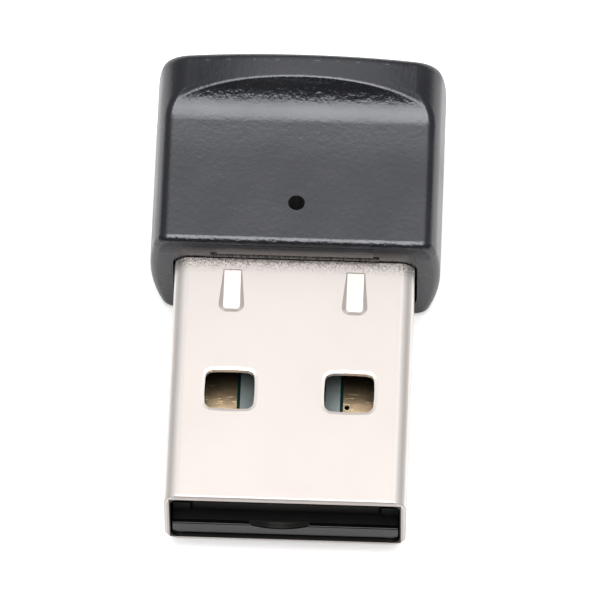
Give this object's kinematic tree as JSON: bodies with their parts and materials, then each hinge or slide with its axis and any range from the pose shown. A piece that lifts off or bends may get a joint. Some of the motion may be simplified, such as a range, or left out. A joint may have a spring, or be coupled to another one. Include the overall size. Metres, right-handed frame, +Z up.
{
  "type": "usb wireless adapter",
  "caption": "Short plug-in adapter: a folded metal plug with windows and pressed beads, and a black moulded cap with a thumb scoop and a light pinhole.",
  "frame": {"origin": "on the cap's underside, at the middle of the width and of the overall length", "axes": "+X across the width, +Y from the plug's mouth to the back of the cap, +Z up, out of the side with the scoop and pinhole"},
  "size_m": [0.0146, 0.0246, 0.0084],
  "materials": {
    "cap_plastic": "fine spark texture",
    "plated_steel": "satin nickel plate",
    "tray_plastic": "smooth black",
    "board_laminate": "glossy green solder mask",
    "gold_plate": "thin gold plate, lightly scratched",
    "copper_track": "masked copper",
    "chip_plastic": "moulded black package",
    "crystal_can": "bare metal lid",
    "ceramic": "fired ceramic with tinned ends",
    "light_lens": "clear resin",
    "solder": "bright solder"
  },
  "bodies": {
    "root": {"housing": "cap_plastic", "plug_shell": "plated_steel", "plug_carrier": "tray_plastic", "circuit_board": "board_laminate", "power_contact": "gold_plate", "data_minus_contact": "gold_plate", "data_plus_contact": "gold_plate", "ground_contact": "gold_plate", "antenna_track": "copper_track", "radio_chip": "chip_plastic", "memory_chip": "chip_plastic", "crystal": "crystal_can", "band_filter": "ceramic", "status_light": "light_lens", "inductor_1": "ceramic", "shell_solder_left": "solder", "shell_solder_right": "solder", "capacitor_1": "ceramic", "capacitor_2": "ceramic", "capacitor_3": "ceramic", "capacitor_4": "ceramic", "capacitor_5": "ceramic", "capacitor_6": "ceramic", "capacitor_7": "ceramic", "resistor_1": "chip_plastic", "resistor_2": "chip_plastic", "resistor_3": "chip_plastic", "resistor_4": "chip_plastic"}
  },
  "joints": []
}
